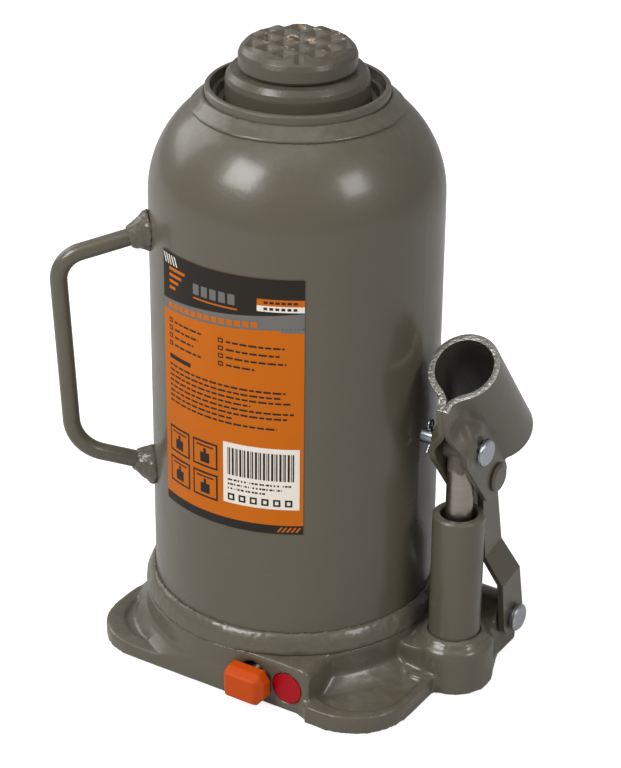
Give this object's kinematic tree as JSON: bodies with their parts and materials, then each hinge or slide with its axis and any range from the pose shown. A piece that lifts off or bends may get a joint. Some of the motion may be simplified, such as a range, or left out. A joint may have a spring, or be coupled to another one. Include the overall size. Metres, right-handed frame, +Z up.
{
  "type": "bottle jack",
  "caption": "Welded hydraulic bottle jack with a pump and handle socket, a ram with an extension screw and waffled saddle, a carry handle and a release valve.",
  "frame": {"origin": "centre of the underside of the base, on the axis of the ram", "axes": "+Z up along the ram, +X from the ram toward the pump, -Y toward the valve face with the release knob"},
  "size_m": [0.157, 0.1234, 0.24],
  "materials": {
    "painted_green": "glossy grey-green machine paint",
    "worn_steel": "oiled machined steel",
    "zinc": "zinc plated",
    "seal_rubber": "matte black",
    "guide_polymer": "tan wear ring",
    "knob_orange": "orange",
    "plug_red": "red",
    "label_film": "printed film, orange and dark grey"
  },
  "bodies": {
    "jack_body": {"base_casting": "painted_green", "tank_weld_bead": "painted_green", "tank_shell": "painted_green", "neck_weld": "painted_green", "hydraulic_cylinder": "painted_green", "cylinder_gasket": "seal_rubber", "gland_nut": "painted_green", "gland_seal": "seal_rubber", "gland_wiper": "seal_rubber", "pump_tube": "painted_green", "pump_gland_ring": "worn_steel", "pump_seal": "seal_rubber", "suction_ball": "worn_steel", "delivery_ball": "worn_steel", "delivery_spring": "worn_steel", "release_ball": "worn_steel", "relief_plug": "plug_red", "relief_screw": "worn_steel", "relief_spring": "worn_steel", "relief_ball": "worn_steel", "filler_plug": "seal_rubber", "carry_handle": "painted_green", "carry_handle_welds": "painted_green", "label": "label_film"},
    "ram_body": {"ram": "painted_green", "ram_cup_seal": "seal_rubber", "ram_guide_ring": "guide_polymer"},
    "screw_body": {"extension_screw": "painted_green"},
    "plunger_body": {"pump_plunger": "worn_steel", "piston_pin": "zinc", "piston_split_pin": "zinc"},
    "socket_body": {"handle_socket": "painted_green"},
    "link_body": {"link_right": "painted_green", "link_left": "painted_green", "link_rivet": "painted_green", "link_bottom_pin": "zinc", "link_split_pin": "zinc"},
    "release_body": {"release_knob": "knob_orange", "release_spindle": "worn_steel", "release_oring": "seal_rubber"}
  },
  "joints": [
    {"name": "ram_slide", "type": "slide", "parent": "jack_body", "child": "ram_body", "axis": [0, 0, 1], "range_m": [0, 0.148]},
    {"name": "screw_slide", "type": "slide", "parent": "ram_body", "child": "screw_body", "axis": [0, 0, 1], "range_m": [0, 0.06]},
    {"name": "plunger_slide", "type": "slide", "parent": "jack_body", "child": "plunger_body", "axis": [0, 0, 1], "range_m": [-0.0131, 0]},
    {"name": "handle_pivot", "type": "hinge", "parent": "plunger_body", "child": "socket_body", "pos_m": [0.0716, 0, 0.0992], "axis": [1, 0, 0], "range_deg": [0, 46]},
    {"name": "link_swing", "type": "hinge", "parent": "jack_body", "child": "link_body", "pos_m": [0.0716, 0.0255, 0.0164], "axis": [1, 0, 0], "range_deg": [-9, 0]},
    {"name": "release_turn", "type": "hinge", "parent": "jack_body", "child": "release_body", "pos_m": [0.017, -0.0556, 0.0098], "axis": [0, 1, 0], "range_deg": [0, 360]}
  ],
  "couplings": [
    {"joint": "handle_pivot", "follows": "plunger_slide", "rad_per_m": -59.931},
    {"joint": "link_swing", "follows": "plunger_slide", "rad_per_m": 10.506}
  ]
}
